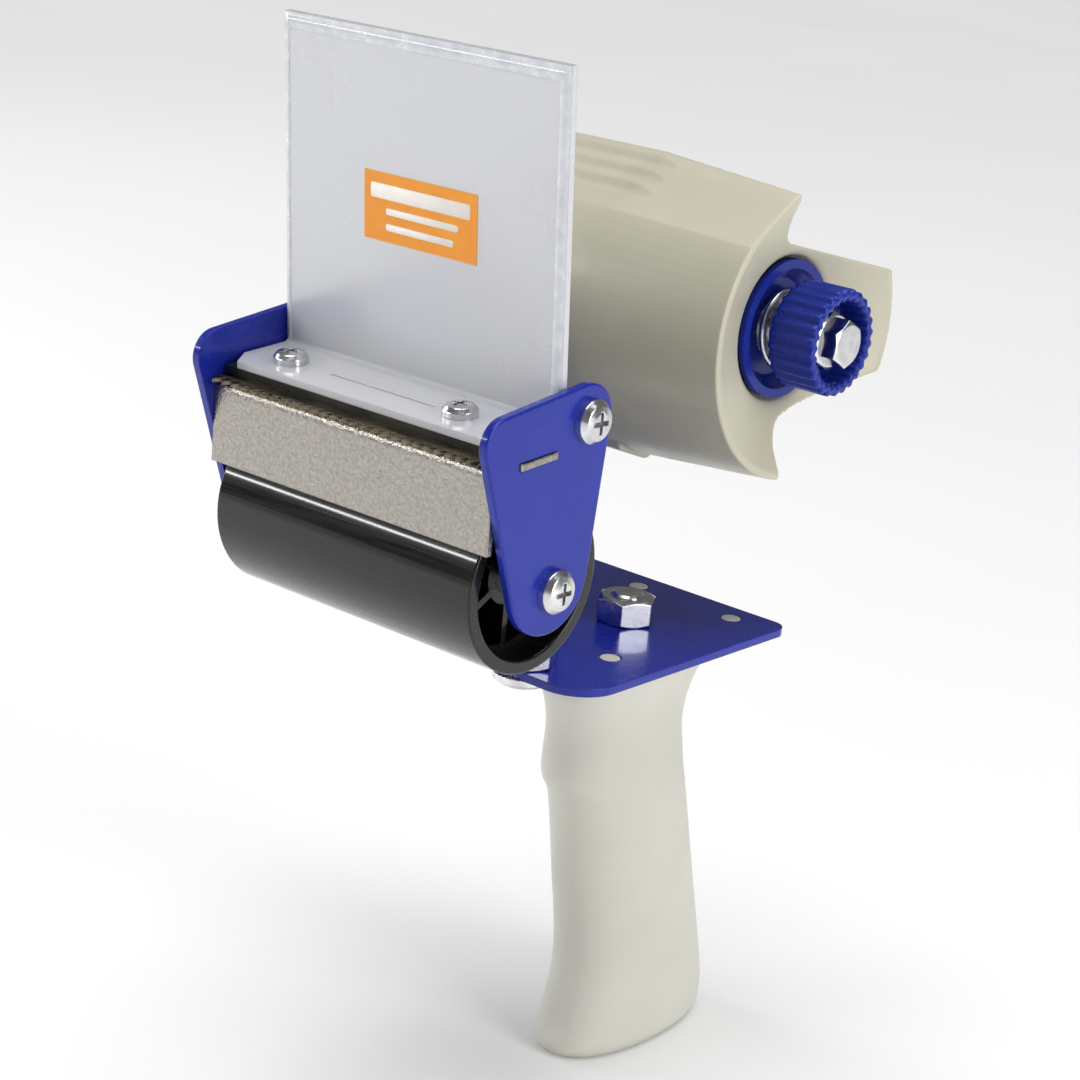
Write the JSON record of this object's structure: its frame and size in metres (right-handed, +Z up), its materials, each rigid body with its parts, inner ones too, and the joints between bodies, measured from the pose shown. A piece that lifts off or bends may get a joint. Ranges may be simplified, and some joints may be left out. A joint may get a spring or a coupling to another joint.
{
  "type": "hand-held tape dispenser",
  "caption": "Hand-held carton tape dispenser with a pistol grip, bent side frame, pressing roller, toothed blade under a clear guard, and a hub with an adjustable brake.",
  "frame": {"origin": "on the hub's axis at the middle of the tape width", "axes": "+X towards the open side and the tension knob, -Y towards the blade and roller, +Z up, grip below"},
  "size_m": [0.0996, 0.1602, 0.2547],
  "materials": {
    "blue_paint": "glossy powder coat",
    "nickel": "sparkling hammered plating",
    "blade_steel": "dark steel, bright edges",
    "dark_steel": "satin",
    "clear_plastic": "frosted translucent plastic",
    "label": null,
    "zinc": "bright zinc plating",
    "black_plastic": "glossy with lengthwise streaks",
    "beige_plastic": "satin gloss moulding",
    "blue_plastic": "glossy",
    "spring_steel": "bright wire",
    "grip_plastic": "satin moulding"
  },
  "bodies": {
    "frame": {"main_frame": "blue_paint", "cheek_plate": "blue_paint", "blade_bracket": "nickel", "blade": "blade_steel", "blade_clamp_bar": "dark_steel", "blade_guard": "clear_plastic", "guard_label": "label", "guard_screws": "zinc", "guard_nuts": "zinc", "roller_axle": "zinc", "roller_screws": "zinc", "tie_bar": "zinc", "tie_bar_screws": "zinc", "hub_spindle": "zinc", "spindle_nut": "zinc", "hub_washer": "zinc", "pressure_flange": "blue_plastic", "tension_spring": "spring_steel", "handle": "grip_plastic", "handle_bolt": "zinc", "handle_nut": "zinc", "plate_nut": "zinc", "plate_screw": "zinc"},
    "roller": {"roller_tube": "black_plastic", "roller_cores": "black_plastic"},
    "hub": {"tape_hub": "beige_plastic", "friction_ring": "black_plastic"},
    "spring_seat": {"spring_washer": "zinc"},
    "knob": {"tension_knob": "blue_plastic", "tension_bolt": "zinc", "knob_nut": "zinc"}
  },
  "joints": [
    {"name": "roller_spin", "type": "hinge", "parent": "frame", "child": "roller", "pos_m": [0, -0.0977, -0.0408], "axis": [1, 0, 0], "continuous": true},
    {"name": "hub_spin", "type": "hinge", "parent": "frame", "child": "hub", "pos_m": [0, 0, 0], "axis": [1, 0, 0], "continuous": true},
    {"name": "knob_travel", "type": "slide", "parent": "frame", "child": "spring_seat", "axis": [1, 0, 0], "range_m": [-0.0025, 0.00187], "deforming": ["tension_spring"]},
    {"name": "knob_turn", "type": "hinge", "parent": "spring_seat", "child": "knob", "pos_m": [0, 0, 0], "axis": [1, 0, 0], "range_deg": [-722, 542]}
  ],
  "couplings": [
    {"joint": "knob_turn", "follows": "knob_travel", "rad_per_m": 5026.5}
  ]
}
